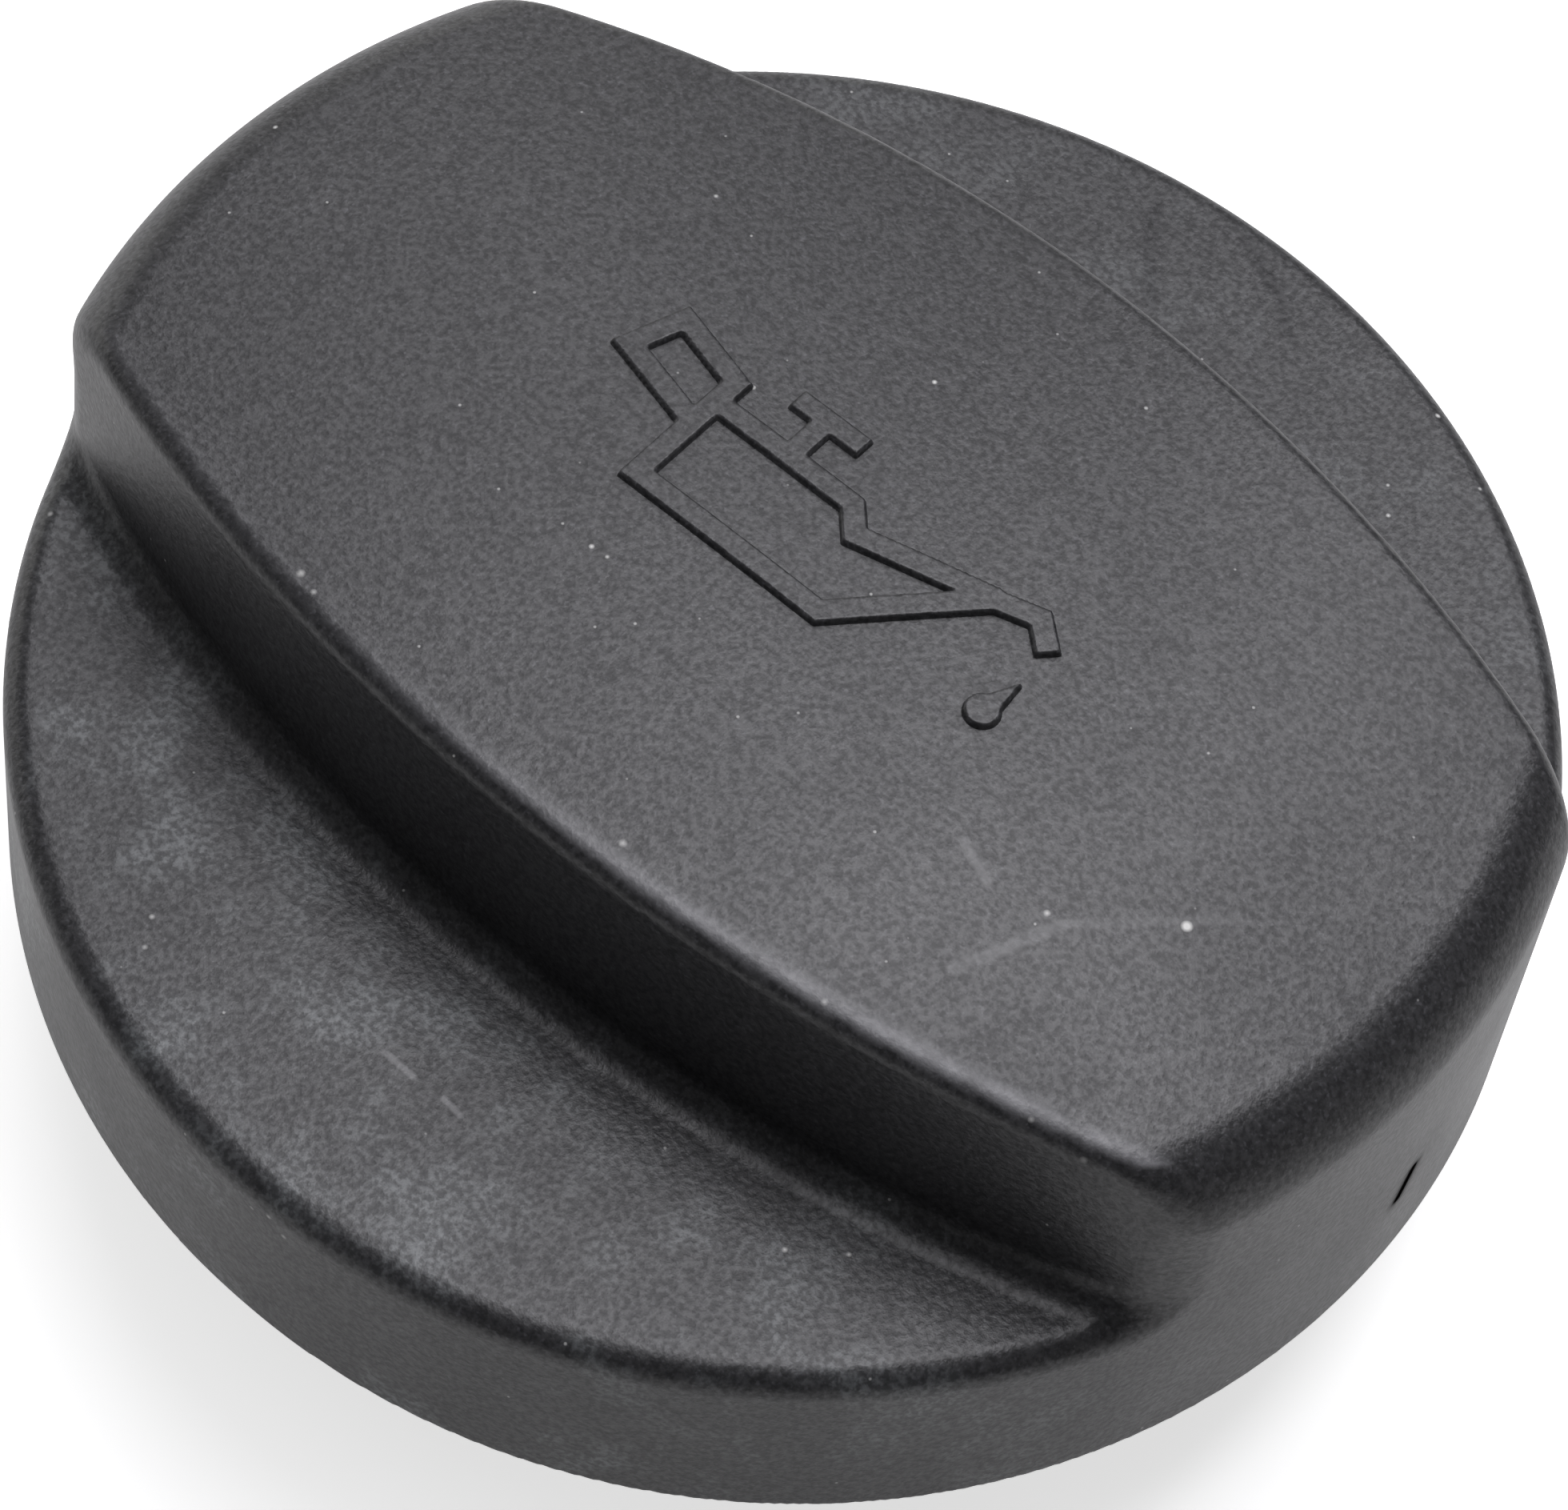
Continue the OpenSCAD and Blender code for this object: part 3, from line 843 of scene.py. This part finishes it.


# Two thin lines on the far side of the disc, along which the shine is lowered.
def dull_traces(s):
    return s.largest([s.near_line(a, b, TRACE_W) for line in DULL_TRACES for a, b in zip(line, line[1:])])


# %% [markdown]
# On the disc the grain is scuffed pale in patches, more of them towards the near side. The
# worn edge of the grip comes from the value stored at each point, broken up by a noise.

# %% Scuffs and wear
NEAR_SIDE_FROM, NEAR_SIDE_TO = -24, -12
NEAR_SCUFFS, FAR_SCUFFS = 1.0, 0.3
print("the scuffs fade over %d mm of the disc" % (NEAR_SIDE_TO - NEAR_SIDE_FROM))


def scuffs(s, grain):
    place = s.put("ShaderNodeSeparateXYZ", Vector=s.mm)
    on_disc = s.ramp(place.outputs[2], DISC_Z + 0.3, DISC_Z + 1.5, 1.0, 0.0)
    # the pale patches grow stronger towards the near side of the disc
    near_side = s.ramp(place.outputs[1], NEAR_SIDE_FROM, NEAR_SIDE_TO, NEAR_SCUFFS, FAR_SCUFFS)
    patches = s.ramp(s.noise(0.17, 3.0, 0.65, (3, 1, 8)), 0.46, 0.66)
    for share in (on_disc, s.ramp(grain, 0.4, 0.7, 0.25, 1.0), near_side):
        patches = s.calc("MULTIPLY", patches, share)
    return patches


def worn_edge(s):
    stored = s.put("ShaderNodeAttribute", {"attribute_name": "edge_wear"}).outputs["Fac"]
    broken = s.ramp(s.noise(0.45, 3.0, 0.6, (9, 0, 4)), 0.3, 0.6, 0.45, 1.0)
    return s.calc("MULTIPLY", stored, broken)


# %% [markdown]
# The layers go over each other in the order in which they came: the plastic, painted glints
# where glass points catch light, scuffs and wear, scratches, dust, and last the gouge, painted
# dark and without shine as the shade in its hollow.

# %% Cover plastic
NYLON_DARK, NYLON_PALE = (0.02, 0.02, 0.0215, 1), (0.04, 0.04, 0.0425, 1)
# The glass point colour is a painted highlight: the pale tone of glass fibres catching the light.
PAINTED_GLINT, SCUFFED, WORN = (0.2, 0.2, 0.22, 1), (0.15, 0.16, 0.165, 1), (0.2, 0.2, 0.21, 1)
# The gouge colour is painted shade: the dark of the gouge's hollow, which the mesh does not have.
SCRATCHED, DUST, GOUGE_SHADE = (0.17, 0.17, 0.175, 1), (0.75, 0.75, 0.73, 1), (0.004, 0.003, 0.003, 1)


def cover_plastic():
    s = Finish("cover_plastic")
    grain = s.noise(3.3, 2.0, 0.6)
    # points: painted glints, pale spots in the colour where glass fibres catch the light
    points = s.calc("MULTIPLY", s.ramp(s.noise(5.0, 1.0, 0.5, (31, 7, 3)), 0.55, 0.8), 0.22)
    # the gouge mask carries painted shade: near black and without shine, as in a hollow
    gouge = s.near_line(*GOUGE, GOUGE_W)
    colour = s.mix(s.ramp(grain, 0.3, 0.7), NYLON_DARK, NYLON_PALE)
    for share, over in ((points, PAINTED_GLINT), (scuffs(s, grain), SCUFFED), (worn_edge(s), WORN),
                        (scratches(s), SCRATCHED), (specks(s), DUST), (gouge, GOUGE_SHADE)):
        colour = s.mix(share, colour, over)
    rough = s.ramp(s.noise(0.09, 3.0, 0.6), 0.3, 0.7, 0.36, 0.42)
    dull = s.calc("MAXIMUM", gouge, s.calc("MULTIPLY", dull_traces(s), TRACE_DULLING))
    shine = s.calc("MULTIPLY", s.ramp(grain, 0.3, 0.7, 0.38, 0.6), s.calc("SUBTRACT", 1.0, dull))
    return s.surface(colour, rough, shine, grain, 0.03)


FINISHES = {"cover_plastic": cover_plastic()}

# %% [markdown]
# The insert is unfilled black nylon from a polished mould: smoother and a little glossier,
# with weak flow marks that circle the gate in its middle and stains of dried oil. The ring is
# oil-proof rubber, dull and very dark, with a dusty bloom in patches.

# %% Insert and ring
INSERT_DARK, INSERT_PALE = (0.022, 0.022, 0.023, 1), (0.036, 0.036, 0.038, 1)
DRIED_OIL = (0.03, 0.018, 0.008, 1)
RUBBER, BLOOM = (0.012, 0.012, 0.012, 1), (0.035, 0.034, 0.032, 1)


def insert_plastic():
    s = Finish("insert_plastic")
    away = s.vector("LENGTH", s.vector("MULTIPLY", s.mm, (1, 1, 0.4)), out=1)
    rings = s.put("ShaderNodeCombineXYZ", X=away).outputs[0]
    flow = s.put("ShaderNodeTexNoise", Vector=rings, Scale=0.6, Detail=3.0).outputs[0]
    cloud = s.noise(0.25, 3.0, 0.6)
    oil = s.ramp(s.noise(0.12, 4.0, 0.6, (4, 4, 9)), 0.56, 0.64)
    colour = s.mix(s.ramp(cloud, 0.3, 0.7), INSERT_DARK, INSERT_PALE)
    colour = s.mix(s.calc("MULTIPLY", oil, 0.5), colour, DRIED_OIL)
    rough = s.calc("ADD", s.ramp(flow, 0.35, 0.65, 0.3, 0.4), s.calc("MULTIPLY", oil, -0.1))
    height = s.calc("ADD", s.calc("MULTIPLY", s.noise(3.5, 2.0, 0.5), 0.3), s.calc("MULTIPLY", flow, 0.7))
    return s.surface(colour, rough, s.ramp(cloud, 0.3, 0.7, 0.45, 0.55), height, 0.01)


def seal_rubber():
    s = Finish("seal_rubber")
    bloom = s.ramp(s.noise(0.35, 4.0, 0.65, (1, 6, 2)), 0.45, 0.7)
    colour = s.mix(s.calc("MULTIPLY", bloom, 0.6), RUBBER, BLOOM)
    return s.surface(colour, s.ramp(bloom, 0.0, 1.0, 0.5, 0.72), 0.35, s.noise(4.0, 3.0, 0.6), 0.012)


FINISHES["insert_plastic"] = insert_plastic()
FINISHES["seal_rubber"] = seal_rubber()

# %% [markdown]
# The sign gets the same plastic as the cover, since both come out of one mould. The insert
# and the ring keep their CAD meshes, whose shapes are right, and get better materials.

# %% Put it together


def wear_finish(piece, name):
    piece.data.materials.clear()
    piece.data.materials.append(FINISHES[name])
    piece.data.polygons.foreach_set("material_index", [0] * len(piece.data.polygons))


sign = raised_sign(FINISHES["cover_plastic"])
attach(cover, "root")
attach(sign, "root")
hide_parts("cover")
wear_finish(cover, "cover_plastic")
wear_finish(sign, "cover_plastic")
wear_finish(insert, "insert_plastic")
wear_finish(seal, "seal_rubber")
print("pieces:", {piece.name: triangles(piece) for piece in (cover, sign, insert, seal)})
